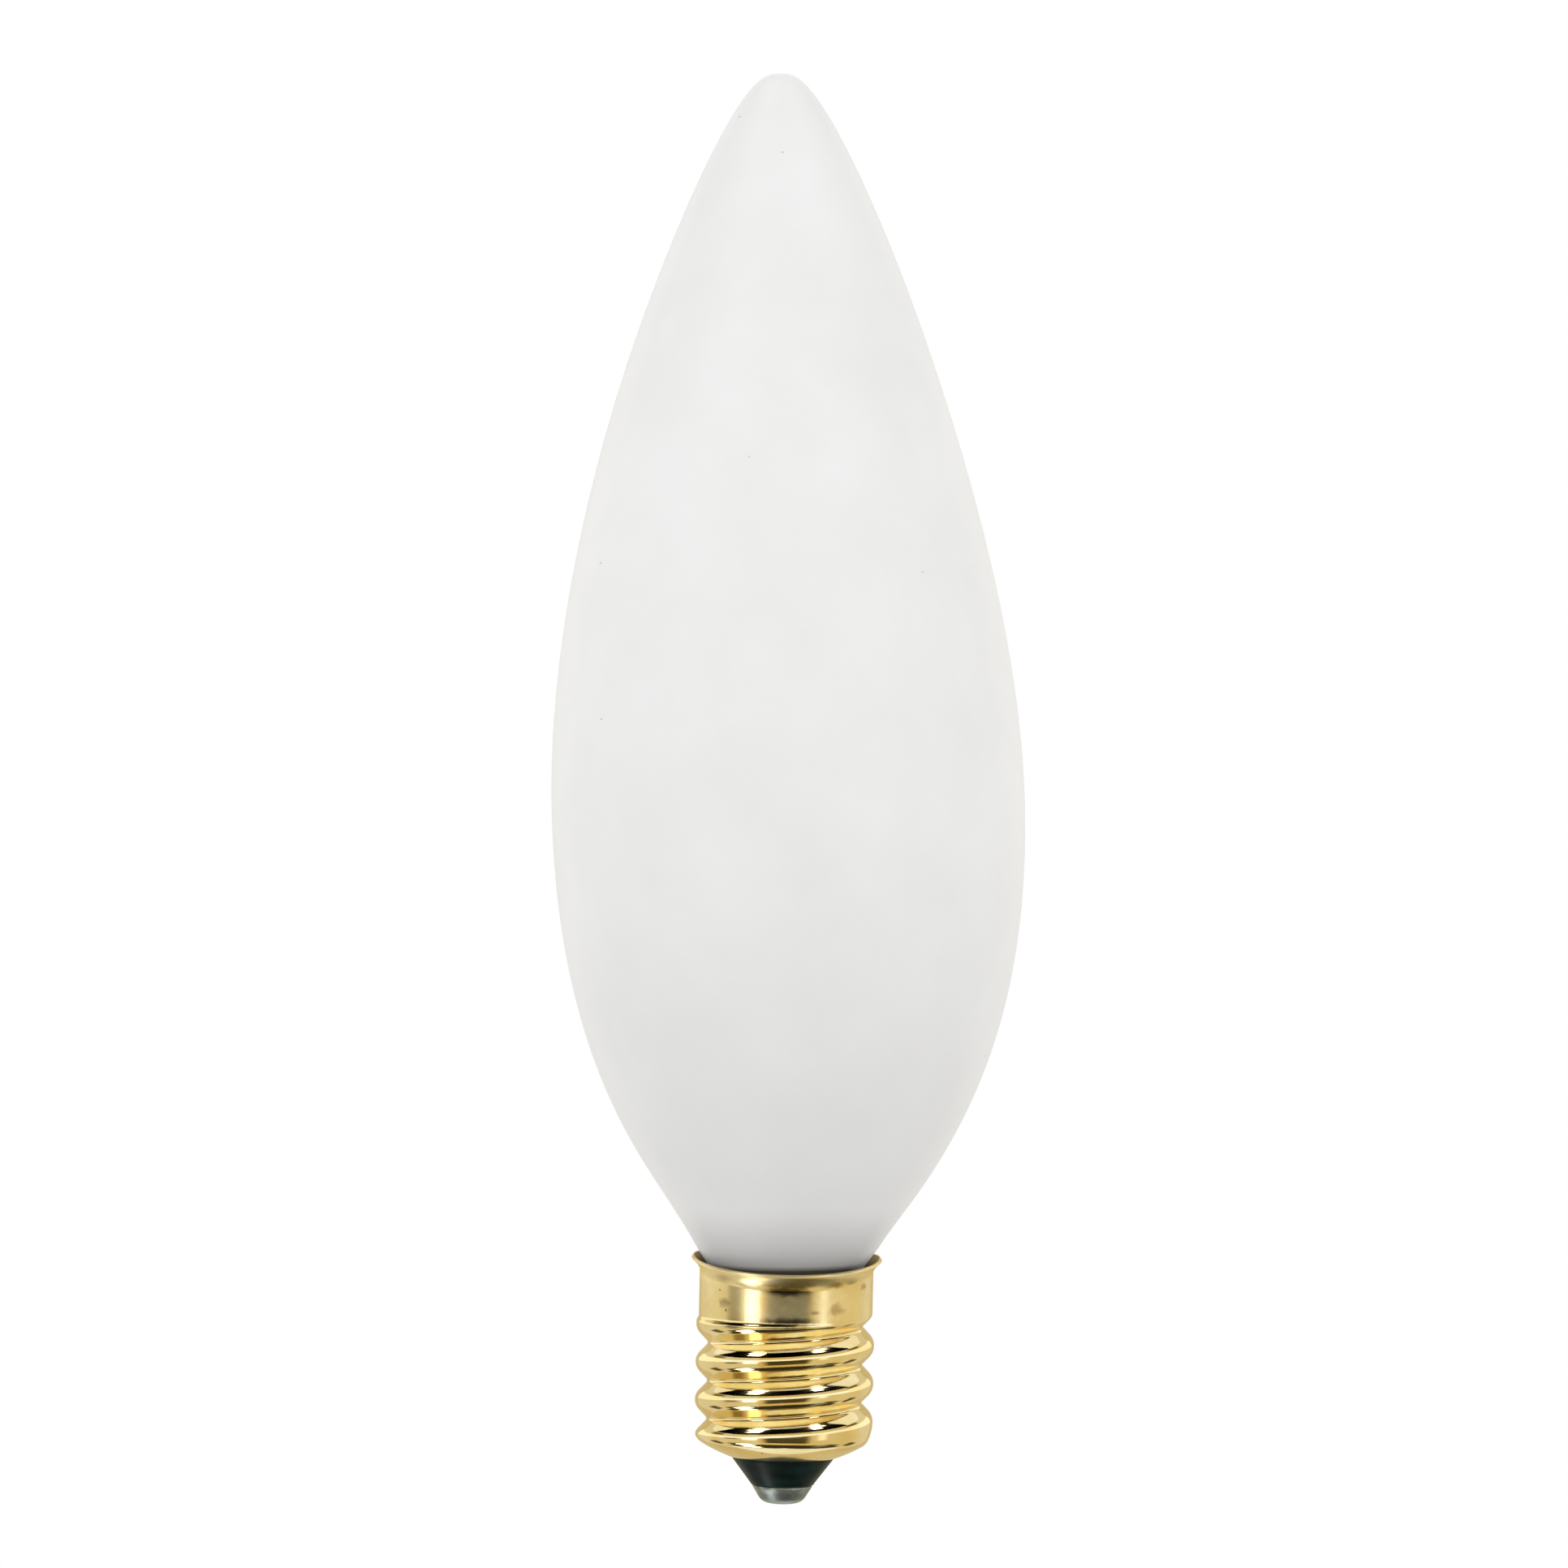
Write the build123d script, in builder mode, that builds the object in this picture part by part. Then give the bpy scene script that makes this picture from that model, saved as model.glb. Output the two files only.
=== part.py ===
"""Decorative incandescent bulb: a torpedo glass envelope in a small right-hand screw cap.

Millimetres, +Z up along the axis, origin at the end of the centre contact, so the glass tip points up.
"""

import math
import os

from build123d import *

os.makedirs("parts", exist_ok=True)

# Whole bulb
overall_length = 95.25

# Glass envelope
widest_radius = 15.76
widest_height = 46.5
tip_flat = 2.15
tip_shoulder_radius = 3.12
tip_shoulder_drop = 0.59
upper_fullness = 22.7
lower_fullness = 18.0
waist_above_rim = 0.65
waist_inside_rim = 0.08
waist_slope = 0.6
waist_pull = 4.4
neck_room = 0.61
neck_top_in_band = 0.9
neck_length = 4.2
neck_pull = 1.75

# Hollow of the stem in the end of the neck, and the sealed-off exhaust tube in it
stem_wall = 1.2
stem_top_radius = 2.2
stem_depth = 5.0
exhaust_radius = 1.1
exhaust_reach = 1.6
press_hole_depth = 1.0
lead_spread = 1.65

# Shell of the cap, one sheet of even thickness: band, flared rim and turned-in lip
sheet = 0.25
band_radius = 5.79
band_bottom = 12.5
band_blend = 0.9
flare_start = 16.0
flare_bend = 0.75
flare_angle = 50.0
rim_beyond_band = 0.57
lip_height = 3.1
lip_inside_crest = 2.54
skin_blend = 0.06

# Screw thread rolled in the shell, with angles in degrees along the helix
pitch = 2.54
crest_beyond_band = 0.15
thread_depth = 0.78
root_arc = 0.2
flank_angle = 44.0
first_root_above_lip = 1.23
groove_fades_in = (-80.0, 130.0)
groove_fades_out = (1090.0, 1240.0)

# Turned-in bottom of the shell, as heights above the lip and depths inside the crest
bottom_bowl = [
    (-0.4, 4.04),
    (-0.2, 3.24),
    (0.0, 2.49),
    (0.2, 1.84),
    (0.4, 1.32),
    (0.6, 0.96),
    (0.82, 0.67),
    (1.04, 0.44),
    (1.26, 0.26),
    (1.5, 0.09),
    (1.9, -0.16),
    (2.9, -0.66),
]

# Levels and points that carry the rolled skin
outer_levels_per_pitch = 7
inner_levels_per_pitch = 5
levels_on_flare = 3
points_around = 20
offset_samples = 12
levels_in_bowl = (-0.2, 0.2, 0.5)
thread_levels_start = 0.8

# Insulator, contact, wires and solder
seat_gap = 0.03
contact_radius = 2.05
contact_height = 1.26
contact_corner_radius = 1.56
contact_corner_height = 0.45
contact_corner_pull = 0.26
contact_flat_radius = 0.75
shank_radius = 0.8
shank_height = 2.2
insulator_shoulder_above_lip = 1.4
insulator_shoulder_inside_crest = 1.39
insulator_side_height = 1.1
insulator_cup_wall = 1.35
insulator_cup_depth = 0.9
wire_radius = 0.15
wire_gap = 0.04
lead_bend = 0.7
solder_radius = 0.32
solder_in_band = 1.05
cement_in_band = 1.5
cement_below_flare = 0.4

# Places that follow from the sizes above
crest_radius = band_radius + crest_beyond_band
root_radius = crest_radius - thread_depth
flank_sin = math.sin(math.radians(flank_angle))
flank_cos = math.cos(math.radians(flank_angle))
crest_arc = (pitch / 2 * flank_sin - thread_depth * flank_cos) / (1 - flank_cos) - root_arc
flare_slope = math.tan(math.radians(flare_angle))
rim_radius = band_radius + rim_beyond_band
rim_height = flare_start + flare_bend / 2 + rim_beyond_band / flare_slope
lip_hole_radius = crest_radius - lip_inside_crest
first_root_height = lip_height + first_root_above_lip
waist_radius = rim_radius - waist_inside_rim
waist_height = rim_height + waist_above_rim
neck_radius = root_radius - sheet - neck_room
neck_top = band_bottom + neck_top_in_band
neck_bottom = neck_top - neck_length
stem_mouth_radius = neck_radius - stem_wall
exhaust_end = neck_bottom - exhaust_reach
insulator_shoulder_height = lip_height + insulator_shoulder_above_lip
insulator_shoulder_radius = crest_radius - insulator_shoulder_inside_crest
insulator_top = insulator_shoulder_height + insulator_side_height
insulator_cup_radius = insulator_shoulder_radius - insulator_cup_wall
side_lead_radius = (neck_radius + root_radius - sheet) / 2
solder_centre_radius = band_radius - sheet - seat_gap - solder_radius
solder_height = band_bottom + solder_in_band
cement_bottom = band_bottom + cement_in_band
cement_top = flare_start - cement_below_flare
first_turn = math.floor(groove_fades_in[0] / 360)
last_turn = math.ceil(groove_fades_out[1] / 360)


def rise(value, start, end):
    """Smooth step from 0 at start to 1 at end."""
    part = min(1.0, max(0.0, (value - start) / (end - start)))
    return part * part * (3 - 2 * part)


def groove_depth(off_centre):
    """Depth of the rolled groove beside its centre line: a root arc, a straight flank and a crest arc."""
    off_centre = abs(off_centre)
    if off_centre < root_arc * flank_sin:
        return thread_depth - root_arc + math.sqrt(root_arc**2 - off_centre**2)
    off_crest = pitch / 2 - off_centre
    if off_crest < crest_arc * flank_sin:
        return crest_arc - math.sqrt(crest_arc**2 - off_crest**2)
    return crest_arc * (1 - flank_cos) + (off_crest - crest_arc * flank_sin) * flank_sin / flank_cos


def soft_least(first, second):
    """The lesser of two radii, with a small rounding where they cross."""
    overlap = max(skin_blend - abs(first - second), 0.0) / skin_blend
    return min(first, second) - overlap**2 * skin_blend / 4


def bowl_radius(height):
    """Radius of the turned-in bottom of the shell."""
    above = height - lip_height
    for (low, low_inset), (high, high_inset) in zip(bottom_bowl, bottom_bowl[1:]):
        if above <= high:
            return crest_radius - low_inset - (high_inset - low_inset) * (above - low) / (high - low)
    return crest_radius - bottom_bowl[-1][1]


def band_outline(height):
    """Radius of the plain band, opening into the flared rim above it."""
    above = height - flare_start
    if above <= 0:
        return band_radius + sheet * 2 * (1 - rise(height, band_bottom - band_blend, band_bottom))
    if above < flare_bend:
        return band_radius + flare_slope * above**2 / (2 * flare_bend)
    return band_radius + flare_slope * (above - flare_bend / 2)


def outer_radius(angle, height):
    """Outside of the shell at an angle in degrees: the crest radius less the groove that passes there."""
    radius = crest_radius
    for turn in range(first_turn, last_turn):
        wound = angle + 360 * turn
        off_centre = height - first_root_height - pitch * wound / 360
        if abs(off_centre) < pitch / 2:
            share = rise(wound, *groove_fades_in) * (1 - rise(wound, *groove_fades_out))
            radius = crest_radius - share * groove_depth(off_centre)
    if height > flare_start:
        return band_outline(height)
    return soft_least(soft_least(radius, bowl_radius(height)), band_outline(height))


def inner_radius(angle, height):
    """Inside of the shell: the outside moved in by the sheet, measured square to the sheet."""
    reach = [sheet * step / offset_samples for step in range(-offset_samples, offset_samples + 1)]
    return min(outer_radius(angle, height + off) - math.sqrt(sheet**2 - off**2) for off in reach)


def levels(per_pitch, shift):
    """Heights of the sections of a skin: close in the thread, the bowl and the flare, and wide on the band."""
    bowl = [lip_height + shift + step for step in levels_in_bowl]
    count = round((band_bottom - lip_height) * per_pitch / pitch)
    start = lip_height + shift + thread_levels_start
    thread = [start + step * pitch / per_pitch for step in range(count + 1)]
    flare = [flare_start + step * flare_bend / levels_on_flare for step in range(levels_on_flare + 1)]
    return bowl + thread + flare + [flare_start + flare_bend * 2]


# Glass envelope: sealed, so one solid from the tip to the end of the neck
neck_curve = [
    (waist_radius, waist_height),
    (waist_radius - neck_pull * waist_slope, waist_height - neck_pull),
    (neck_radius, neck_top + neck_pull),
    (neck_radius, neck_top),
]
stem_roof = neck_bottom + stem_depth
neck_edge = (neck_radius - stem_mouth_radius) / 2
with BuildPart() as glass_bulb:
    with BuildSketch(Plane.XZ):
        with BuildLine():
            Bezier(
                (0, overall_length),
                (tip_flat, overall_length),
                (tip_shoulder_radius, overall_length - tip_shoulder_drop),
                (widest_radius, widest_height + upper_fullness),
                (widest_radius, widest_height),
            )
            Bezier(
                (widest_radius, widest_height),
                (widest_radius, widest_height - lower_fullness),
                (waist_radius + waist_pull * waist_slope, waist_height + waist_pull),
                (waist_radius, waist_height),
            )
            Bezier(*neck_curve)
            Line((neck_radius, neck_top), (neck_radius, neck_bottom + neck_edge))
            ThreePointArc(
                (neck_radius, neck_bottom + neck_edge),
                (neck_radius - neck_edge, neck_bottom),
                (stem_mouth_radius, neck_bottom + neck_edge),
            )
            Polyline(
                (stem_mouth_radius, neck_bottom + neck_edge),
                (stem_top_radius, stem_roof),
                (exhaust_radius, stem_roof),
                (exhaust_radius, exhaust_end + exhaust_radius),
            )
            RadiusArc((exhaust_radius, exhaust_end + exhaust_radius), (0, exhaust_end), exhaust_radius)
            Line((0, exhaust_end), (0, overall_length))
        make_face()
    revolve(axis=Axis.Z)
    with BuildSketch(Plane.XY.offset(stem_roof)):
        with Locations((0, lead_spread), (0, -lead_spread)):
            Circle(wire_radius + wire_gap)
    extrude(amount=press_hole_depth, mode=Mode.SUBTRACT)

# Screw shell: the outside skin, hollowed by the same skin one sheet thickness in
skins = (
    (outer_radius, levels(outer_levels_per_pitch, 0), Mode.ADD),
    (inner_radius, levels(inner_levels_per_pitch, sheet / 2), Mode.SUBTRACT),
)
turns = [360 * step / points_around for step in range(points_around)]
rim_corner = Vector(rim_radius, rim_height)
along_flare = Vector(0, flare_bend).rotate(Axis.Z, -flare_angle)
across_flare = Vector(flare_bend, 0).rotate(Axis.Z, -flare_angle)
with BuildPart() as screw_shell:
    for radius_at, heights, mode in skins:
        for height in heights:
            with BuildSketch(Plane.XY.offset(height)):
                with BuildLine():
                    spots = [Vector(radius_at(turn, height), 0).rotate(Axis.Z, turn) for turn in turns]
                    Spline(*spots, periodic=True)
                make_face()
        loft(ruled=True, mode=mode)
    with BuildSketch(Plane.XY.offset(lip_height)):
        Circle(lip_hole_radius)
    extrude(amount=pitch / 2, both=True, mode=Mode.SUBTRACT)
    with BuildSketch(Plane.XZ):
        with BuildLine():
            Polyline(
                rim_corner + across_flare,
                rim_corner - across_flare,
                rim_corner - across_flare + along_flare * 2,
                rim_corner + across_flare + along_flare * 2,
                close=True,
            )
        make_face()
    revolve(axis=Axis.Z, mode=Mode.SUBTRACT)

# Insulator: black glass moulded in the bottom of the shell, with a hole for the contact's shank and the lead
insulator_foot = contact_height + seat_gap
lip_clear_radius = lip_hole_radius - seat_gap
cup_floor = insulator_top - insulator_cup_depth
with BuildPart() as insulator:
    with BuildSketch(Plane.XZ):
        with BuildLine():
            Polyline(
                (0, insulator_foot),
                (contact_radius, insulator_foot),
                (lip_clear_radius, lip_height),
                (lip_clear_radius, lip_height + sheet * 2),
                (insulator_shoulder_radius, insulator_shoulder_height),
                (insulator_shoulder_radius, insulator_top),
                (insulator_cup_radius, insulator_top),
                (insulator_cup_radius - insulator_cup_depth / 2, cup_floor),
                (0, cup_floor),
                close=True,
            )
        make_face()
    revolve(axis=Axis.Z)
    with BuildSketch(Plane.XY.offset(insulator_foot)):
        Circle(shank_radius + seat_gap)
    extrude(amount=shank_height - insulator_foot + seat_gap, mode=Mode.SUBTRACT)
    with BuildSketch(Plane.XY.offset(shank_height)):
        Circle(wire_radius + wire_gap)
    extrude(amount=insulator_top - shank_height, mode=Mode.SUBTRACT)

# Centre contact: a dull metal button with a hollow shank that takes the lead
lead_seat = contact_height / 2
with BuildPart() as centre_contact:
    with BuildSketch(Plane.XZ):
        with BuildLine():
            Line((0, 0), (contact_flat_radius, 0))
            Bezier(
                (contact_flat_radius, 0),
                (contact_corner_radius - contact_corner_pull, 0),
                (contact_corner_radius, contact_corner_height),
            )
            Polyline(
                (contact_corner_radius, contact_corner_height),
                (contact_radius, contact_height),
                (shank_radius, contact_height),
                (shank_radius, shank_height),
                (wire_radius + wire_gap, shank_height),
                (wire_radius + wire_gap, lead_seat),
                (0, lead_seat),
                (0, 0),
            )
        make_face()
    revolve(axis=Axis.Z)

# Basing cement: poured round the neck inside the plain band, so it takes the neck's form
cement_radius = band_radius - sheet - seat_gap
with BuildPart() as basing_cement:
    with BuildSketch(Plane.XZ):
        with BuildLine():
            Bezier(*neck_curve)
            Polyline((neck_radius, neck_top), (waist_radius, neck_top), (waist_radius, waist_height))
        make_face()
        with Locations((cement_radius / 2, (cement_bottom + cement_top) / 2)):
            Rectangle(cement_radius, cement_top - cement_bottom, mode=Mode.INTERSECT)
    revolve(axis=Axis.Z)

# Centre lead: from the stem, under the exhaust tube and down the insulator's hole into the contact
with BuildPart() as centre_lead_wire:
    with BuildLine() as centre_route:
        FilletPolyline(
            (0, -lead_spread, stem_roof + press_hole_depth - wire_gap),
            (0, -lead_spread, exhaust_end - lead_bend),
            (0, 0, exhaust_end - lead_bend * 2),
            (0, 0, lead_seat + wire_gap),
            radius=lead_bend,
        )
    with BuildSketch(Plane(centre_route.line @ 0, z_dir=centre_route.line % 0)):
        Circle(wire_radius)
    sweep()

# Side lead: from the stem, round the end of the neck and up the inside of the shell to its solder
with BuildPart() as side_lead_wire:
    with BuildLine() as side_route:
        FilletPolyline(
            (0, lead_spread, stem_roof + press_hole_depth - wire_gap),
            (0, lead_spread, neck_bottom - lead_bend),
            (0, side_lead_radius, neck_bottom - lead_bend),
            (0, side_lead_radius, band_bottom),
            (0, solder_centre_radius, band_bottom + lead_bend),
            (0, solder_centre_radius, solder_height),
            radius=lead_bend / 2,
        )
    with BuildSketch(Plane(side_route.line @ 0, z_dir=side_route.line % 0)):
        Circle(wire_radius)
    sweep()

# Side solder: the bead that joins the side lead to the inside of the band
solder_centre = (0, solder_centre_radius, solder_height)
with BuildPart() as side_solder:
    with Locations(solder_centre):
        Sphere(solder_radius)
    with BuildSketch(Plane(solder_centre).offset(wire_gap)):
        Circle(wire_radius + wire_gap)
    extrude(amount=-solder_radius * 2, mode=Mode.SUBTRACT)

for name, piece in {
    "glass_bulb": glass_bulb,
    "screw_shell": screw_shell,
    "insulator": insulator,
    "centre_contact": centre_contact,
    "basing_cement": basing_cement,
    "centre_lead_wire": centre_lead_wire,
    "side_lead_wire": side_lead_wire,
    "side_solder": side_solder,
}.items():
    piece.part.label = name
    export_step(piece.part, f"parts/{name}.step")
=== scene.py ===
"""Decorative incandescent bulb: white torpedo glass in a brass screw cap, lit as in its photo.

Metres, +Z up the bulb's axis, origin at the end of the centre contact. The camera looks along +Y.
"""

import math

import bmesh
import bpy
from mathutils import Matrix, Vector


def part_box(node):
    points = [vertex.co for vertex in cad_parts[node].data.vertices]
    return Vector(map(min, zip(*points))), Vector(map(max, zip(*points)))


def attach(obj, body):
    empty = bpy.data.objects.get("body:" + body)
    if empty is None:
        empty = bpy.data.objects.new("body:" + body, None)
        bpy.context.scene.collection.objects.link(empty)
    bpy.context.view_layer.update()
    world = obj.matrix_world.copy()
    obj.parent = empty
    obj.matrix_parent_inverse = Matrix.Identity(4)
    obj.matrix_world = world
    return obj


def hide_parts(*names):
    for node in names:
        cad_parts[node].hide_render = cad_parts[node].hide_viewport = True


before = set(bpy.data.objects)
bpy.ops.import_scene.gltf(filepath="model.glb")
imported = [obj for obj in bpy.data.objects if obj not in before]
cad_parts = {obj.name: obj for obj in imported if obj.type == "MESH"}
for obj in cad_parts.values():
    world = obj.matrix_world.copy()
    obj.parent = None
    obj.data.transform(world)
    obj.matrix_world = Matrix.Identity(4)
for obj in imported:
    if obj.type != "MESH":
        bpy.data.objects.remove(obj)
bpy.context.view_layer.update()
MM = 0.001


# Glass envelope: blown clear glass with a white coat inside, one sealed piece from tip to neck.
# A torpedo 31.5 mm across that looks satin white, with a faint mottle, a few specks and a painted
# sheen at its edges. Above the cap its white is painted greyer, a painted shade from the rim, and
# the bare neck, painted dark as the shadow in the gap under the rim, goes down into the cap's
# cement.
def linear(colour, alpha=1.0):
    """A colour written as sRGB hex, as the linear values that a shader takes."""
    parts = [int(colour[place : place + 2], 16) / 255 for place in (1, 3, 5)]
    lit = [part / 12.92 if part <= 0.04045 else ((part + 0.055) / 1.055) ** 2.4 for part in parts]
    return lit + [alpha]


def add_node(tree, kind, settings=None, **values):
    """A shader node with its settings, and its inputs by name: a socket to link, or a constant."""
    node = tree.nodes.new("ShaderNode" + kind)
    for name, value in (settings or {}).items():
        setattr(node, name, value)
    for name, value in values.items():
        name = name.replace("_", " ")
        socket = node.inputs[int(name)] if name.isdigit() else node.inputs[name]
        if isinstance(value, bpy.types.NodeSocket):
            tree.links.new(value, socket)
        else:
            socket.default_value = value
    return node


def new_material(name):
    """An empty node material, its shader tree and the Object coordinates that its patterns read."""
    material = bpy.data.materials.new(name)
    material.use_nodes = True
    tree = material.node_tree
    tree.nodes.clear()
    place = add_node(tree, "TexCoord").outputs["Object"]
    return material, tree, place


def noise(tree, place, size, detail=3.0, squeeze=(1, 1, 1)):
    """Noise from 0 to 1 with features of about a size in mm, finer along an axis by its squeeze."""
    spread = add_node(tree, "Mapping", Vector=place, Scale=squeeze).outputs[0]
    scale = 1 / (size * MM)
    return add_node(tree, "TexNoise", Vector=spread, Scale=scale, Detail=detail).outputs[0]


def ramp(tree, value, low, high, dark, light):
    """A colour that runs from dark to light while a value runs from low to high."""
    share = add_node(tree, "MapRange", **{"0": value, "1": low, "2": high}).outputs[0]
    mix = add_node(tree, "Mix", {"data_type": "RGBA"}, **{"0": share, "6": dark, "7": light})
    return mix.outputs[2]


def blotch(tree, place, centre, size, ragged=0.5):
    """A soft-edged patch, 1 in its middle and 0 outside, by its centre and half sizes in mm."""
    middle, half_size = [part * MM for part in centre], [part * MM for part in size]
    moved = add_node(tree, "VectorMath", {"operation": "SUBTRACT"}, **{"0": place, "1": middle})
    scaled = add_node(
        tree, "VectorMath", {"operation": "DIVIDE"}, **{"0": moved.outputs[0], "1": half_size}
    )
    reach = add_node(tree, "VectorMath", {"operation": "LENGTH"}, **{"0": scaled.outputs[0]})
    grain = noise(tree, place, 0.4545, detail=4.0)
    uneven_reach = add_node(
        tree,
        "Math",
        {"operation": "MULTIPLY_ADD"},
        **{"0": grain, "1": ragged, "2": reach.outputs["Value"]},
    ).outputs[0]
    fade = {"interpolation_type": "SMOOTHSTEP"}
    inner_edge, outer_edge = 0.2 + ragged / 2, 1.0 + ragged / 2
    edges = {"0": uneven_reach, "1": inner_edge, "2": outer_edge, "3": 1.0, "4": 0.0}
    return add_node(tree, "MapRange", fade, **edges).outputs[0]


def rise(value, start, end):
    """Smooth step from 0 at start to 1 at end."""
    part = min(1.0, max(0.0, (value - start) / (end - start)))
    return part * part * (3 - 2 * part)


def lean_cap(corner):
    """The photo's cap leans a little over a degree, its foot to the left."""
    shift, lean = 0.2 * MM, 0.0206
    corner.x, corner.z = corner.x - shift + lean * corner.z, corner.z - lean * corner.x


def lean_glass(corner):
    """The photo's glass is blown a little crooked, its middle to the right and its tip to the left.

    It leaves the cap's axis just above the rim and comes back over its upper half.
    """
    to_the_right = (0.1 + 0.33 * rise(corner.z, 14 * MM, 22 * MM)) * MM
    to_the_left = 0.72 * rise(corner.z, 30 * MM, 78 * MM) * MM
    corner.x += to_the_right - to_the_left


def make_piece(mesh_builder, name, node, material, lean=lean_cap):
    """Turns a finished bmesh into a smooth leaning piece that stands in for its CAD node."""
    for corner in mesh_builder.verts:
        lean(corner.co)
    bmesh.ops.remove_doubles(mesh_builder, verts=mesh_builder.verts, dist=1e-7)
    bmesh.ops.recalc_face_normals(mesh_builder, faces=mesh_builder.faces)
    mesh = bpy.data.meshes.new(name)
    mesh_builder.to_mesh(mesh)
    mesh_builder.free()
    mesh.materials.append(material)
    mesh.polygons.foreach_set("use_smooth", [True] * len(mesh.polygons))
    piece = bpy.data.objects.new(name, mesh)
    bpy.context.scene.collection.objects.link(piece)
    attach(piece, "root")
    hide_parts(node)


def spin_about_axis(builder, outline, steps, turn=math.tau):
    """Spins an outline of (x, y, z) corners about the bulb's axis, a full turn or a part of it."""
    corners = [builder.verts.new(corner) for corner in outline]
    edges = [builder.edges.new(pair) for pair in zip(corners, corners[1:])]
    bmesh.ops.spin(
        builder,
        geom=corners + edges,
        axis=(0, 0, 1),
        cent=(0, 0, 0),
        steps=steps,
        angle=turn,
        use_merge=turn == math.tau,
    )


def spun(outline, steps):
    """A surface made by one full turn of an outline of (radius, height) points about the axis."""
    builder = bmesh.new()
    spin_about_axis(builder, [(radius, 0, height) for radius, height in outline], steps)
    return builder


def curve(*controls, steps=48):
    """Points of a Bezier curve through its control points, its last point left out."""
    points = []
    for step in range(steps):
        level = [Vector(control) for control in controls]
        while len(level) > 1:
            level = [a.lerp(b, step / steps) for a, b in zip(level, level[1:])]
        points.append(level[0].to_tuple())
    return points


glass_low, glass_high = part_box("glass_bulb")
tip_height = glass_high.z
tip_half_width = 2.15 * MM
tip_corner_radius = 3.12 * MM
tip_corner_drop = 0.59 * MM
widest_radius = 15.76 * MM
widest_height = 46.5 * MM
upper_fullness = 22.7 * MM
lower_fullness = 18 * MM
waist_radius = 6.28 * MM
waist_height = 17.5 * MM
waist_slope = 0.6
waist_pull = 4.4 * MM
neck_pull = 1.75 * MM
neck_radius = 4.3 * MM
neck_top = 13.4 * MM
neck_bottom = 9.2 * MM
neck_edge = 0.6 * MM
stem_top_radius = 2.2 * MM
stem_roof = 14.2 * MM
exhaust_radius = 1.1 * MM
glass_outline = (
    curve(
        (0, tip_height),
        (tip_half_width, tip_height),
        (tip_corner_radius, tip_height - tip_corner_drop),
        (widest_radius, widest_height + upper_fullness),
        (widest_radius, widest_height),
        steps=110,
    )
    + curve(
        (widest_radius, widest_height),
        (widest_radius, widest_height - lower_fullness),
        (waist_radius + waist_pull * waist_slope, waist_height + waist_pull),
        (waist_radius, waist_height),
        steps=60,
    )
    + curve(
        (waist_radius, waist_height),
        (waist_radius - neck_pull * waist_slope, waist_height - neck_pull),
        (neck_radius, neck_top + neck_pull),
        (neck_radius, neck_top),
        steps=16,
    )
    + [
        (
            neck_radius - neck_edge + neck_edge * math.cos(math.pi * step / 8),
            neck_bottom + neck_edge - neck_edge * math.sin(math.pi * step / 8),
        )
        for step in range(9)
    ]
    + [(stem_top_radius, stem_roof), (exhaust_radius, stem_roof)]
    + [
        (
            exhaust_radius * math.cos(math.pi / 2 * step / 6),
            glass_low.z + exhaust_radius - exhaust_radius * math.sin(math.pi / 2 * step / 6),
        )
        for step in range(7)
    ]
)

# The coat is a fine powder seen through the glass: soft white, with a painted sheen that turns it
# paler where it is seen edge on. Over the first pair of heights it is painted greyer, a painted
# shade above the rim. The coat ends over the second pair, above the cap, and the neck below is
# painted dark, a painted shadow in the gap under the rim. The specks are places on the front, as
# (across, up) in mm.
painted_shade_heights = (16.4 * MM, 20.5 * MM)
coat_end_and_gap_shadow = (15.9 * MM, 16.25 * MM)
specks = (
    (-3.0, 92.3),
    (-0.15, 89.8),
    (-2.3, 69.6),
    (9.0, 62.1),
    (-12.1, 62.7),
    (-12.0, 52.5),
    (13.3, 30.1),
)
white_glass, tree, place = new_material("white_glass")
mottle = noise(tree, place, 7.143, detail=4.0)
coat = ramp(tree, mottle, 0.3, 0.7, linear("#EDEDEC"), linear("#F2F2F2"))
height = add_node(tree, "SeparateXYZ", Vector=place).outputs["Z"]
clear_of_painted_shade = add_node(
    tree,
    "MapRange",
    {"interpolation_type": "SMOOTHSTEP"},
    **{"0": height, "1": painted_shade_heights[0], "2": painted_shade_heights[1]},
).outputs[0]
# Painted shade: the coat is greyed above the cap, where the rim shades the glass.
coat = add_node(
    tree, "Mix", {"data_type": "RGBA"}, **{"0": clear_of_painted_shade, "6": linear("#C9C8C7"), "7": coat}
).outputs[2]
clear_of_gap_shadow = add_node(tree, "MapRange", **{"0": height, "1": coat_end_and_gap_shadow[0], "2": coat_end_and_gap_shadow[1]})
# Painted shadow: below the coat's end the neck is painted dark, for the shade in the gap under the
# rim.
coat = add_node(
    tree,
    "Mix",
    {"data_type": "RGBA"},
    **{"0": clear_of_gap_shadow.outputs[0], "6": linear("#4B4840"), "7": coat},
).outputs[2]
for speck_x, speck_z in specks:
    speck = blotch(tree, place, (speck_x, -6.0, speck_z), (0.11, 14.0, 0.09), ragged=0.0)
    coat = add_node(
        tree, "Mix", {"data_type": "RGBA"}, **{"0": speck, "6": coat, "7": linear("#C4BFB8")}
    ).outputs[2]
edge_on = add_node(tree, "LayerWeight", Blend=0.5).outputs["Facing"]
painted_edge_sheen = add_node(tree, "MapRange", **{"0": edge_on, "1": 0.55, "2": 1.0, "3": 0.0, "4": 0.8})
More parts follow.
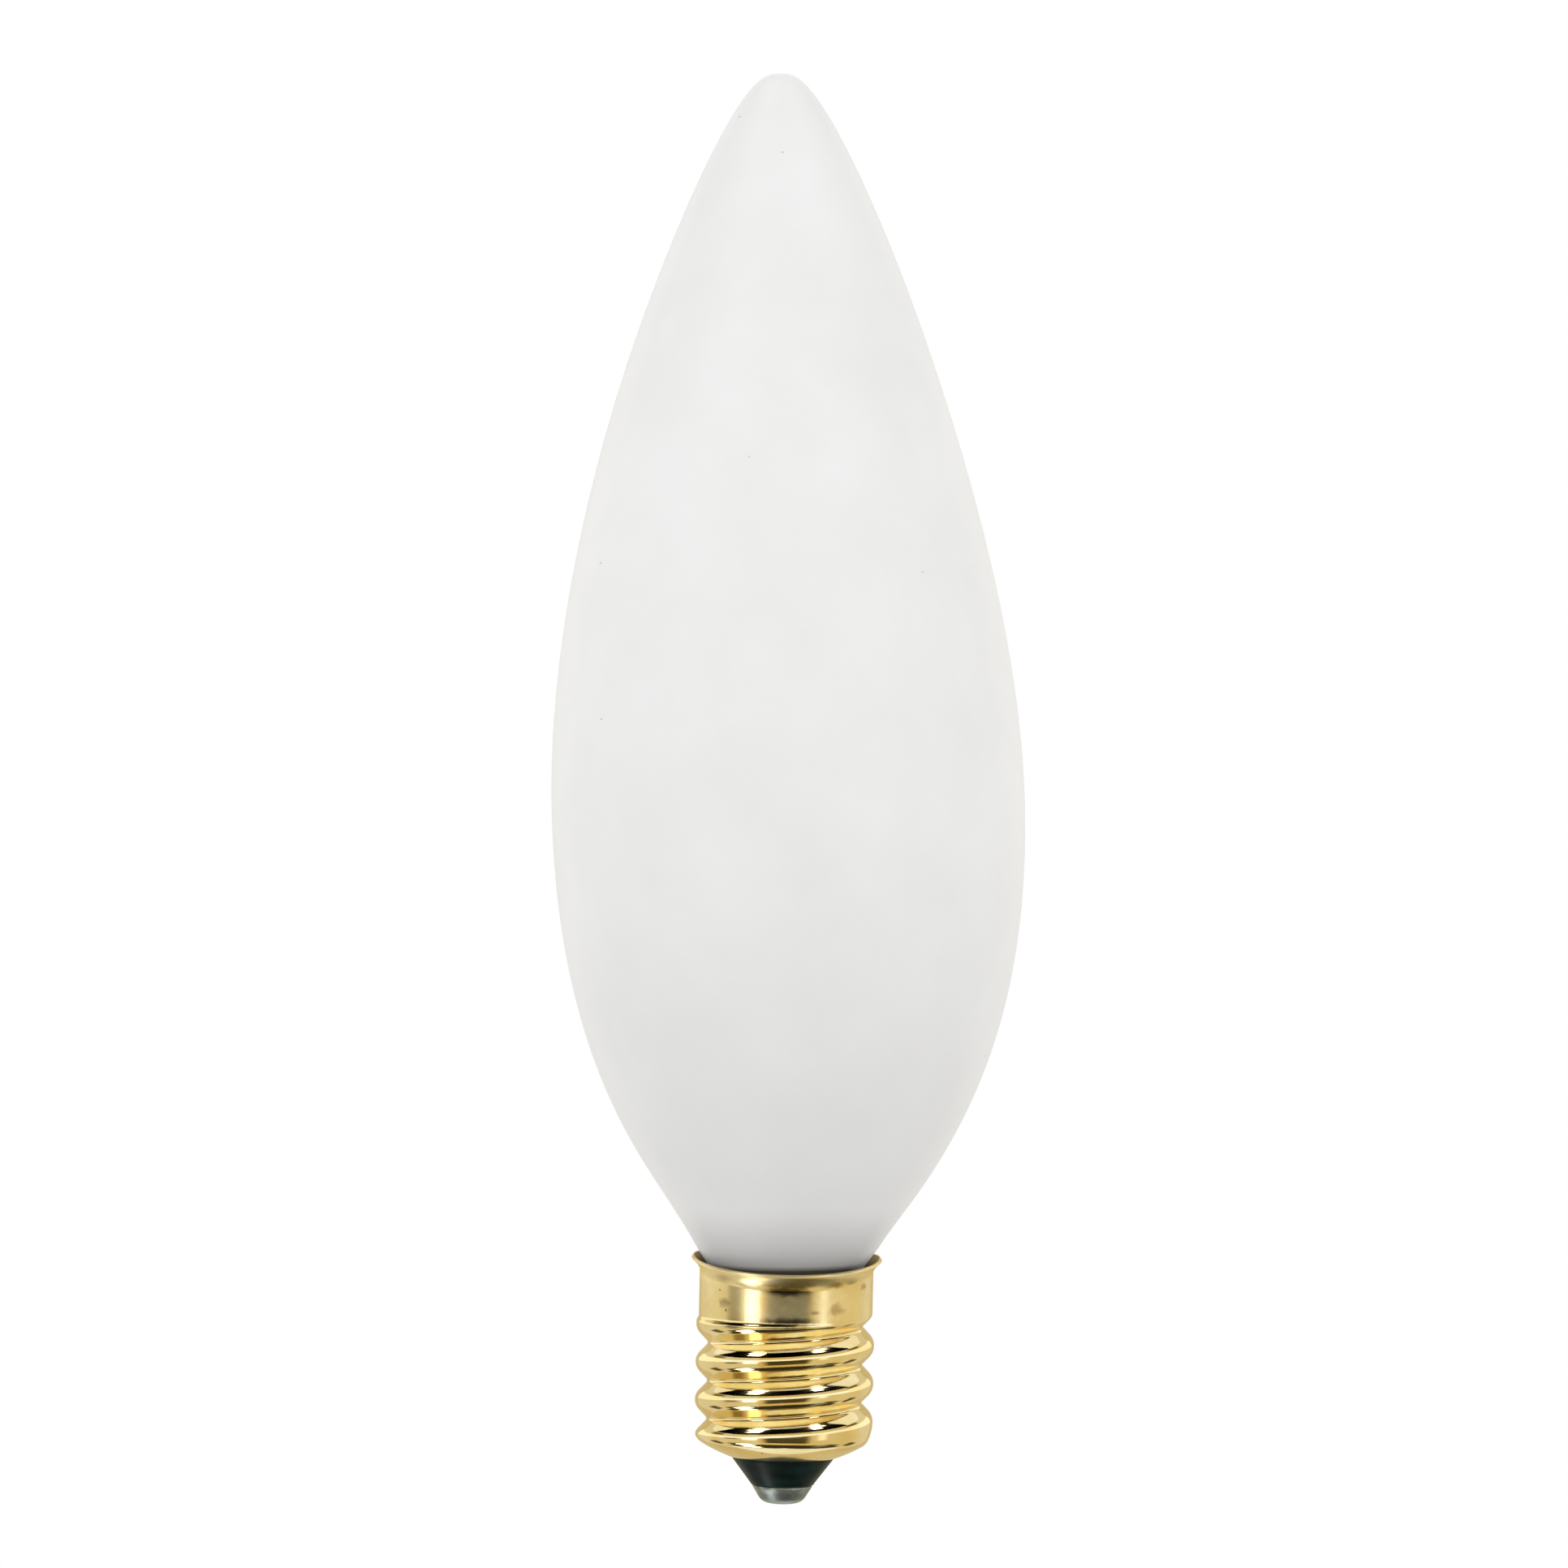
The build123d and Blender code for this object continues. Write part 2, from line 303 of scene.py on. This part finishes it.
# Painted sheen: the coat turns near white where it is seen edge on.
coat = add_node(
    tree,
    "Mix",
    {"data_type": "RGBA"},
    **{"0": painted_edge_sheen.outputs[0], "6": coat, "7": linear("#FDFDFD")},
).outputs[2]
glass_ripple = noise(tree, place, 1.111)
glass_bump = add_node(tree, "Bump", Strength=0.05, Distance=0.2 * MM, Height=glass_ripple)
shader = add_node(
    tree,
    "BsdfPrincipled",
    Base_Color=coat,
    Roughness=0.55,
    IOR=1.5,
    Specular_IOR_Level=0.4,
    Sheen_Weight=0.4,
    Sheen_Roughness=0.35,
    Normal=glass_bump.outputs[0],
)
add_node(tree, "OutputMaterial", Surface=shader.outputs[0])
envelope = spun(glass_outline, 192)
make_piece(
    envelope, "white_glass_envelope", "glass_bulb", white_glass, lean=lean_glass
)


# Screw shell: one 0.25 mm brass sheet, drawn as a cup and rolled with a right-hand knuckle thread
# of 2.54 mm pitch. A plain band 11.6 mm across carries a flared rim, and the bottom is a bowl
# turned in to the insulator. Polished, with a duller band, light tarnish and a few stains, with
# painted dark reflections at the top and bottom of the band's front and a painted shade inside.
pitch = 2.54 * MM
crest_radius = 5.94 * MM
thread_depth = 0.78 * MM
root_arc = 0.2 * MM
flank_angle = math.radians(44)
flank_sin, flank_cos = math.sin(flank_angle), math.cos(flank_angle)
arc_sum = (pitch / 2 * flank_sin - thread_depth * flank_cos) / (1 - flank_cos)
crest_arc = arc_sum - root_arc
first_root_height = 4.33 * MM
groove_fades_in = (-80, 130)
groove_fades_out = (1090, 1240)
sheet = 0.25 * MM
band_radius = 5.79 * MM
band_bottom = 12.5 * MM
shoulder_height = 0.5 * MM
shoulder_bulge = 0.3 * MM
flare_start = 15.7 * MM
flare_arcs = ((21, 0.1 * MM), (40, 0.5 * MM), (54, 0.36 * MM))
band_droop = 1.1 * MM
rim_droop = 0.85 * MM
droop_blend = 0.02
lip_radius = 3.43 * MM
lip_height = 3.1 * MM
bowl_slope = 2.65
bowl_bend = 0.56 / MM
bowl_top = 2.3 * MM
bowl_blend = 0.45 * MM


def groove_depth(off_centre):
    """Depth of the rolled groove beside its centre line: root arc, straight flank, crest arc."""
    off_centre = abs(off_centre)
    if off_centre < root_arc * flank_sin:
        return thread_depth - root_arc + math.sqrt(root_arc**2 - off_centre**2)
    off_crest = pitch / 2 - off_centre
    if off_crest < crest_arc * flank_sin:
        return crest_arc - math.sqrt(crest_arc**2 - off_crest**2)
    flank = (off_crest - crest_arc * flank_sin) * flank_sin / flank_cos
    return crest_arc * (1 - flank_cos) + flank


def soft_least(first, second, blend=0.12 * MM):
    """The lesser of two radii, with a small rounding where they cross."""
    overlap = max(blend - abs(first - second), 0.0) / blend
    return min(first, second) - overlap**2 * blend / 4


def bowl_radius(height):
    """Radius of the turned-in bottom of the shell: a dish that steepens into the first crest."""
    above = min(height - lip_height, bowl_top)
    return lip_radius + bowl_slope * above - bowl_bend * above**2


def outer_radius(angle, height):
    """Outside of the shell at an angle: the crest radius less the groove that passes there."""
    radius = crest_radius
    for turn in range(-1, 4):
        wound = math.degrees(angle) + 360 * turn
        off_centre = height - first_root_height - pitch * wound / 360
        if abs(off_centre) < pitch / 2:
            share = rise(wound, *groove_fades_in) * (1 - rise(wound, *groove_fades_out))
            radius = crest_radius - share * groove_depth(off_centre)
    below_band = 1 - rise(height, band_bottom - shoulder_height, band_bottom)
    band = band_radius + shoulder_bulge * below_band
    return soft_least(soft_least(radius, bowl_radius(height), bowl_blend), band)


def inner_radius(angle, height):
    """Inside of the shell: the outside moved in by the sheet, measured square to the sheet."""
    reach = [sheet * step / 6 for step in range(-6, 7)]
    return min(outer_radius(angle, height + off) - math.sqrt(sheet**2 - off**2) for off in reach)


def flare(inward, steps):
    """The flared rim as (radius, height) points, at a depth inside the outer skin.

    Each arc has the angle in degrees that it opens to, and its length.
    """
    radius, height, turned = band_radius, flare_start, 0.0
    points = []
    for opened, length in flare_arcs:
        turn = (math.radians(opened) - turned) / steps
        for _ in range(steps):
            points.append((radius - inward * math.cos(turned), height + inward * math.sin(turned)))
            turned += turn
            radius += math.sin(turned) * length / steps
            height += math.cos(turned) * length / steps
    return points + [(radius - inward * math.cos(turned), height + inward * math.sin(turned))]


# The outline is spun with its rings at a mark instead of their radius, 1 m on the outer skin and
# 2 m on the inner one. Each corner of a marked ring then gets its true radius from the thread.
outer_mark, inner_mark = 1, 2
turned_levels = 150
hidden_levels = 30
skin_height = flare_start - lip_height
outer_skin = [
    (outer_mark, lip_height + skin_height * step / turned_levels) for step in range(turned_levels)
]
inner_skin = [
    (inner_mark, flare_start - (skin_height - sheet) * step / hidden_levels)
    for step in range(1, hidden_levels + 1)
]
shell_outline = outer_skin + flare(0, 6) + flare(sheet, 3)[::-1] + inner_skin
shell_builder = spun(shell_outline + shell_outline[:1], 420)
for corner in shell_builder.verts:
    mark = round(math.hypot(corner.co.x, corner.co.y))
    if mark:
        angle = math.atan2(corner.co.y, corner.co.x) % math.tau
        radius = (outer_radius if mark == outer_mark else inner_radius)(angle, corner.co.z)
        corner.co.x *= radius / mark
        corner.co.y *= radius / mark

    # The photo's rim droops at the front, and the top of the band a little more. The droop fades
    # out smoothly towards the back.
    forward = -corner.co.y / math.hypot(corner.co.x, corner.co.y)
    share = (forward + math.sqrt(forward**2 + droop_blend)) / 2
    droop = band_droop * rise(corner.co.z, band_bottom, flare_start)
    lift = (band_droop - rim_droop) * rise(corner.co.z, flare_start, flare_start + 1 * MM)
    corner.co.z -= share * (droop - lift)

# Drawn brass, polished to a pale gold: a mirror on the rolled thread, and duller on the band and
# the rim. Its inner side, whose faces look towards the axis, is painted dark olive, a painted shade
# inside the rim. The first two patches are painted dark reflections at the top and bottom of the
# band's front, and the rest are stains. Each patch has its centre and half sizes in mm, how ragged
# it is, its colour and its strength.
stains_and_painted_reflections = (
    # Painted reflections: the first two dark patches, at the top and bottom of the band's front,
    # stand in for the dark camera side mirrored there.
    ((0.2, -5.9, 14.65), (2.2, 2.0, 0.5), 0.6, "#2A2510", 0.92),
    ((0.1, -5.9, 12.6), (2.4, 2.0, 0.5), 0.8, "#332B14", 0.85),
    ((-3.5, -4.7, 12.25), (1.1, 1.5, 0.28), 0.9, "#6A5C30", 0.7),
    ((-4.0, -4.3, 13.8), (0.5, 1.5, 0.45), 1.4, "#75643A", 0.55),
    ((3.5, -4.7, 15.0), (0.5, 1.5, 0.35), 1.5, "#80551E", 0.6),
    ((3.4, -4.8, 13.3), (0.7, 1.5, 0.6), 1.5, "#96702F", 0.5),
    ((2.0, -5.5, 13.2), (0.6, 1.5, 0.2), 1.3, "#8A5A22", 0.55),
    ((5.2, -2.6, 14.7), (0.35, 1.0, 0.3), 1.4, "#8B652D", 0.5),
    ((-1.5, -4.6, 3.85), (0.08, 1.5, 0.07), 0.0, "#2E2410", 1.0),
    ((-4.3, -4.0, 14.6), (0.1, 1.5, 0.08), 0.5, "#3B2F16", 0.9),
    ((-3.9, -4.4, 13.3), (0.08, 1.5, 0.12), 0.5, "#3B2F16", 0.9),
)
dull_from = ((12.3 * MM, 12.8 * MM, 0.1), (14.9 * MM, 15.3 * MM, 0.14))
brass, tree, place = new_material("brass_sheet")
tarnish = noise(tree, place, 2.381, detail=5.0)
brass_colour = ramp(tree, tarnish, 0.35, 0.75, linear("#F7E6B2"), linear("#E9CF8A"))
smudge = noise(tree, place, 3.846, detail=4.0)
brass_rough = add_node(
    tree, "MapRange", **{"0": smudge, "1": 0.35, "2": 0.75, "3": 0.06, "4": 0.15}
).outputs[0]
height = add_node(tree, "SeparateXYZ", Vector=place).outputs["Z"]
for start, end, extra in dull_from:
    rougher = add_node(
        tree, "MapRange", **{"0": height, "1": start, "2": end, "3": 0.0, "4": extra}
    ).outputs[0]
    brass_rough = add_node(
        tree, "Math", {"operation": "ADD"}, **{"0": brass_rough, "1": rougher}
    ).outputs[0]
for centre, size, ragged, stain_and_reflection_colour, strength in stains_and_painted_reflections:
    patch = blotch(tree, place, centre, size, ragged)
    share = add_node(tree, "Math", {"operation": "MULTIPLY"}, **{"0": patch, "1": strength})
    brass_colour = add_node(
        tree,
        "Mix",
        {"data_type": "RGBA"},
        **{"0": share.outputs[0], "6": brass_colour, "7": linear(stain_and_reflection_colour)},
    ).outputs[2]
level_place = add_node(
    tree, "VectorMath", {"operation": "MULTIPLY"}, **{"0": place, "1": (1, 1, 0)}
).outputs[0]
outward = add_node(tree, "VectorMath", {"operation": "NORMALIZE"}, **{"0": level_place})
facing = add_node(tree, "TexCoord").outputs["Normal"]
facing_out = add_node(
    tree, "VectorMath", {"operation": "DOT_PRODUCT"}, **{"0": outward.outputs[0], "1": facing}
).outputs["Value"]
inner_side_painted_shade = add_node(tree, "MapRange", **{"0": facing_out, "1": -0.1, "2": -0.2}).outputs[0]
# Painted shade: the faces that look towards the axis are darkened, for the shade inside the rim.
brass_colour = add_node(
    tree,
    "Mix",
    {"data_type": "RGBA"},
    **{"0": inner_side_painted_shade, "6": brass_colour, "7": linear("#6B5A30")},
).outputs[2]
brass_ripple = noise(tree, place, 1.4286)
brass_bump = add_node(tree, "Bump", Strength=0.08, Distance=0.1 * MM, Height=brass_ripple)
shader = add_node(
    tree,
    "BsdfPrincipled",
    Base_Color=brass_colour,
    Metallic=1.0,
    Roughness=brass_rough,
    Normal=brass_bump.outputs[0],
)
add_node(tree, "OutputMaterial", Surface=shader.outputs[0])
make_piece(shell_builder, "rolled_brass_shell", "screw_shell", brass)


# Insulator: a black-green glass cone, moulded in the bottom of the shell and pierced for the
# contact. A foot, a cone up to the shell's lip, and a flange and cup hidden in the shell.
pierced_radius = 0.83 * MM
insulator_foot_radius = 2.14 * MM
insulator_foot = 1.29 * MM
foot_edge = 0.11 * MM
cone_radius = 3.35 * MM
cone_top = 3.0 * MM
throat_radius = 3.37 * MM
throat_top = 3.6 * MM
flange_radius = 4.5 * MM
flange_bottom = 4.5 * MM
insulator_top = 5.55 * MM
cup_radius = 3.2 * MM
cup_floor_radius = 2.75 * MM
cup_floor = 4.7 * MM
insulator_outline = (
    [(pierced_radius, insulator_foot), (insulator_foot_radius - 0.19 * MM, insulator_foot)]
    + curve(
        (insulator_foot_radius - 0.12 * MM, insulator_foot),
        (insulator_foot_radius - 0.04 * MM, insulator_foot),
        (insulator_foot_radius, insulator_foot + foot_edge),
        steps=4,
    )
    + [
        (insulator_foot_radius, insulator_foot + foot_edge),
        (cone_radius, cone_top),
        (cone_radius + 0.04 * MM, cone_top + 0.14 * MM),
        (throat_radius, throat_top),
        (flange_radius, flange_bottom),
        (flange_radius, insulator_top),
        (cup_radius, insulator_top),
        (cup_floor_radius, cup_floor),
        (pierced_radius, cup_floor),
        (pierced_radius, insulator_foot),
    ]
)

# Pressed black glass: almost black, with a green tint in faint swirls and a soft, broad shine.
black_glass, tree, place = new_material("black_glass")
swirl = noise(tree, place, 2.0, squeeze=(1, 1, 2.5))
glass_tint = ramp(tree, swirl, 0.3, 0.75, linear("#040B0A"), linear("#122B28"))
shader = add_node(
    tree, "BsdfPrincipled", Base_Color=glass_tint, Roughness=0.34, IOR=1.5, Specular_IOR_Level=0.14
)
add_node(tree, "OutputMaterial", Surface=shader.outputs[0])
cone = spun(insulator_outline, 128)
make_piece(cone, "black_glass_insulator", "insulator", black_glass)


# Centre contact: a small eyelet filled with solder, whose stem goes up through the insulator.
# Dull grey, with a flattened dome, a darker edge at its top and a fine mottle.
dome_flat = 0.85 * MM
dome_radius = 1.56 * MM
dome_height = 0.47 * MM
skirt_radius = 2.0 * MM
skirt_top = 1.18 * MM
contact_top = 1.26 * MM
contact_stem_radius = 0.8 * MM
contact_stem_top = 2.2 * MM
contact_outline = (
    curve(
        (0, 0),
        (dome_flat, 0),
        (dome_radius - 0.26 * MM, 0.05 * MM),
        (dome_radius, dome_height),
        steps=14,
    )
    + curve(
        (dome_radius, dome_height),
        (dome_radius + 0.2 * MM, dome_height + 0.33 * MM),
        (skirt_radius, skirt_top),
        steps=6,
    )
    + [
        (skirt_radius, skirt_top),
        (skirt_radius - 0.02 * MM, contact_top),
        (contact_stem_radius, contact_top),
        (contact_stem_radius, contact_stem_top),
        (0, contact_stem_top),
    ]
)

# Tin solder gone dull: a half matt grey with a fine grain. Each zone of its height starts at the
# first height, is full at the second and has its own grey.
contact_zones = ((0.92 * MM, 0.74 * MM, "#7A8381"), (0.42 * MM, 0.16 * MM, "#B4BCB9"))
solder_metal, tree, place = new_material("contact_metal")
spots = noise(tree, place, 0.6667, detail=5.0)
solder_colour = ramp(tree, spots, 0.35, 0.7, linear("#727B79"), linear("#B2BAB7"))
height = add_node(tree, "SeparateXYZ", Vector=place).outputs["Z"]
for zone_top, zone_full, shade in contact_zones:
    zone = add_node(
        tree, "MapRange", **{"0": height, "1": zone_top, "2": zone_full, "3": 0.0, "4": 0.75}
    ).outputs[0]
    solder_colour = add_node(
        tree, "Mix", {"data_type": "RGBA"}, **{"0": zone, "6": solder_colour, "7": linear(shade)}
    ).outputs[2]
solder_rough = add_node(
    tree, "MapRange", **{"0": spots, "1": 0.3, "2": 0.7, "3": 0.5, "4": 0.32}
).outputs[0]
solder_grain = noise(tree, place, 0.5556)
solder_bump = add_node(tree, "Bump", Strength=0.3, Distance=0.1 * MM, Height=solder_grain)
shader = add_node(
    tree,
    "BsdfPrincipled",
    Base_Color=solder_colour,
    Metallic=0.9,
    Roughness=solder_rough,
    Normal=solder_bump.outputs[0],
)
add_node(tree, "OutputMaterial", Surface=shader.outputs[0])
button = spun(contact_outline, 96)
make_piece(button, "solder_contact", "centre_contact", solder_metal)


# Cement, lead wires and side solder: a cast ring, two plated wires and a bead of tin solder.
# They are hidden in the cap, so the CAD nodes are shown, with a plain finish each.
for node_name, dark, light, metallic in (
    ("basing_cement", "#8F8168", "#A39679", 0.0),
    ("centre_lead_wire", "#8C8780", "#A8A39B", 1.0),
    ("side_lead_wire", "#8C8780", "#A8A39B", 1.0),
    ("side_solder", "#8D9092", "#A9ACAE", 0.9),
):
    material, tree, place = new_material(node_name + "_finish")
    grain = ramp(tree, noise(tree, place, 0.8333), 0.3, 0.7, linear(dark), linear(light))
    shader = add_node(
        tree, "BsdfPrincipled", Base_Color=grain, Metallic=metallic, Roughness=0.5
    )
    add_node(tree, "OutputMaterial", Surface=shader.outputs[0])
    part_mesh = bpy.data.objects[node_name].data
    part_mesh.materials.clear()
    part_mesh.materials.append(material)


# Studio: plain white all round, two soft lamps on the glass, and glowing cards that show only as
# reflections. They give the brass thread its black and gold lines and its highlights.
def card(name, azimuths, elevations, colour, strength, radius=0.9, soft=None):
    """A curved card round the bulb, between two azimuths and two elevations in degrees.

    Azimuth 0 is the camera's side and 90 the right. A soft card fades out at its sides, over
    degrees of azimuth, and at its top and bottom, over a share of its radius.
    """
    middle = 15 * MM
    outline = []
    turn = math.radians(azimuths[0] - 90)
    for step in range(9):
        tilt = math.radians(elevations[0] + (elevations[1] - elevations[0]) * step / 8)
        reach = radius * math.cos(tilt)
        level = middle + radius * math.sin(tilt)
        outline.append((reach * math.cos(turn), reach * math.sin(turn), level))
    builder = bmesh.new()
    spin_about_axis(builder, outline, 24, math.radians(azimuths[1] - azimuths[0]))
    mesh = bpy.data.meshes.new(name)
    builder.to_mesh(mesh)
    builder.free()
    material, tree, place = new_material(name)
    glow = add_node(tree, "Emission", Color=linear(colour), Strength=strength)
    if soft:
        right, rear, up = add_node(tree, "SeparateXYZ", Vector=place).outputs
        front = add_node(tree, "Math", {"operation": "MULTIPLY"}, **{"0": rear, "1": -1.0})
        around = add_node(
            tree, "Math", {"operation": "ARCTAN2"}, **{"0": right, "1": front.outputs[0]}
        ).outputs[0]
        sides = [math.radians(azimuth) for azimuth in sorted(azimuths)]
        levels = [middle + radius * math.sin(math.radians(elevation)) for elevation in elevations]
        side_fade, level_fade = math.radians(soft[0]), soft[1] * radius
        cover = 1.0
        for along, (low, high), fade in ((around, sides, side_fade), (up, levels, level_fade)):
            for edge, inward in ((low, fade), (high, -fade)):
                share = add_node(
                    tree,
                    "MapRange",
                    {"interpolation_type": "SMOOTHSTEP"},
                    **{"0": along, "1": edge, "2": edge + inward},
                ).outputs[0]
                cover = add_node(
                    tree, "Math", {"operation": "MULTIPLY"}, **{"0": share, "1": cover}
                ).outputs[0]
        clear = add_node(tree, "BsdfTransparent").outputs[0]
        glow = add_node(tree, "MixShader", **{"0": cover, "1": clear, "2": glow.outputs[0]})
    add_node(tree, "OutputMaterial", Surface=glow.outputs[0])
    mesh.materials.append(material)
    board = bpy.data.objects.new(name, mesh)
    bpy.context.scene.collection.objects.link(board)
    board.visible_camera = False
    board.visible_diffuse = False
    board.visible_transmission = False
    board.visible_shadow = False
    return board


# The room: tan in front, with a pale strip above the dark camera, pale at the sides and tan again
# at the back.
card("front_card", (-36, 36), (-52, 28), "#DEC48E", 1.0)
card("upper_front_strip", (-92, 92), (0, 13), "#DCE8FF", 1.6, radius=0.88)
card("lens_card", (-32, 40), (-34, -1), "#4C462E", 1.0, radius=0.85, soft=(13, 0.02))
card("left_grey_card", (-150, -36), (-52, 30), "#E3DCC8", 1.0)
card("left_shade_card", (-88, -58), (-13, 3), "#978B6D", 1.0, radius=0.88, soft=(10, 0.05))
card("right_grey_card", (36, 112), (-52, 30), "#E3D6B4", 1.0)
card("right_rear_card", (112, 150), (-52, 30), "#E3DBC4", 1.0)
card("rear_card", (150, 210), (-52, 38), "#D3C49A", 1.0)

# Black above and dark below, which draw the dark lines on the upper and lower flanks.
card("rear_black_card", (134, 226), (60, 84), "#000000", 1.0)
card("upper_black_card", (-80, 100), (28, 84), "#000000", 1.0)
card("left_black_card", (-118, -80), (30, 84), "#000000", 1.0, radius=0.85)
card("lower_dark_card", (-120, 120), (-88, -48), "#34342A", 1.0)

# A glow and three shades on each side, for the ends of the thread's lines.
for side, name in ((-1, "left"), (1, "right")):
    card(name + "_glow_card", (side * 92, side * 150), (-1, 17), "#FFF9EA", 1.2, radius=0.87)
    for shade, azimuths, elevations, colour in (
        ("_upper_shade", (88, 122), (18, 30), "#6E6341"),
        ("_lower_shade", (66, 104), (-56, -39), "#4E4932"),
        ("_rear_shade", (104, 132), (-46, -27), "#5A5338"),
    ):
        turned = [side * azimuth for azimuth in azimuths]
        card(name + shade, turned, elevations, colour, 1.0, radius=0.86, soft=(9, 0.05))

# Soft boxes and reflectors, which give the highlights. They stand nearer than the other cards.
for name, azimuths, elevations, colour, strength, soft in (
    ("left_soft_box", (-66, -43), (44, 57), "#FFFFFF", 7.0, None),
    ("left_soft_box_top", (-84, -52), (57, 78), "#FFFFFF", 7.0, None),
    ("left_reflector", (-58, -32), (-16, 6), "#FFFFFF", 2.2, (7, 0.08)),
    ("left_low_reflector", (-86, -58), (-61, -47), "#FFFFFF", 5.0, None),
    ("left_low_reflector_foot", (-106, -80), (-74, -61), "#FFFFFF", 5.0, None),
    ("right_soft_box", (46, 62), (44, 57), "#FFFFFF", 7.0, None),
    ("right_soft_box_top", (60, 84), (57, 76), "#FFFFFF", 7.0, None),
    ("right_reflector", (41, 62), (-16, 6), "#FFFFFF", 1.2, (9, 0.08)),
    ("right_low_reflector", (62, 88), (-66, -48), "#A8B8B4", 0.5, None),
):
    card(name, azimuths, elevations, colour, strength, radius=0.8, soft=soft)

# A grey board below the front, which only dims the light on matt surfaces that face down.
board = card("low_grey_board", (-45, 45), (-85, -8), "#BFBFBF", 0.55, radius=0.75)
board.visible_diffuse = True
board.visible_glossy = False

# The world is plain white to the camera, mirrors and glass, and a lower fill light to the rest.
world = bpy.data.worlds.new("white_surround")
bpy.context.scene.world = world
world.use_nodes = True
tree = world.node_tree
tree.nodes.clear()
rays = add_node(tree, "LightPath").outputs
seen = rays["Is Camera Ray"]
for ray in ("Is Glossy Ray", "Is Transmission Ray"):
    seen = add_node(
        tree, "Math", {"operation": "MAXIMUM"}, **{"0": seen, "1": rays[ray]}
    ).outputs[0]
white = add_node(tree, "Background", Color=linear("#FFFFFF"), Strength=1.0).outputs[0]
fill = add_node(tree, "Background", Color=linear("#FFFFFF"), Strength=0.78).outputs[0]
both = add_node(tree, "MixShader", **{"0": seen, "1": fill, "2": white})
add_node(tree, "OutputWorld", Surface=both.outputs[0])


def soft_lamp(name, azimuth, power):
    """A rectangular soft lamp a little above the bulb's middle, which it faces."""
    elevation, distance, bulb_middle = 10, 0.7, Vector((0, 0, 0.048))
    lamp = bpy.data.lights.new(name, "AREA")
    lamp.shape = "RECTANGLE"
    lamp.size, lamp.size_y = 0.4, 0.6
    lamp.energy = power
    holder = bpy.data.objects.new(name, lamp)
    turn, tilt = math.radians(azimuth - 90), math.radians(elevation)
    level_reach = math.cos(tilt)
    way = Vector((math.cos(turn) * level_reach, math.sin(turn) * level_reach, math.sin(tilt)))
    holder.location = bulb_middle + way * distance
    holder.rotation_mode = "QUATERNION"
    holder.rotation_quaternion = way.to_track_quat("Z", "Y")
    holder.visible_glossy = False
    bpy.context.scene.collection.objects.link(holder)


soft_lamp("left_lamp", -42, 1.25)
soft_lamp("right_lamp", 50, 1.1)

# Camera: a long lens a little above the bulb's middle, upright, framed as in the photo.
camera_distance = 0.55
camera_tilt = math.radians(1.3)
photo_scale = 18.5 / MM
photo_side = 1932
aim = Vector((-0.05 * MM, 0, 48.03 * MM))
camera = bpy.data.cameras.new("camera")
camera.sensor_width = 36
camera.lens = camera.sensor_width * photo_scale * camera_distance / photo_side
camera.clip_start = 0.01
stand = bpy.data.objects.new("camera", camera)
back = Vector((0, -math.cos(camera_tilt), math.sin(camera_tilt)))
stand.location = aim + back * camera_distance
stand.rotation_mode = "QUATERNION"
stand.rotation_quaternion = back.to_track_quat("Z", "Y")
bpy.context.scene.collection.objects.link(stand)
bpy.context.scene.camera = stand
bpy.context.scene.view_settings.view_transform = "Standard"
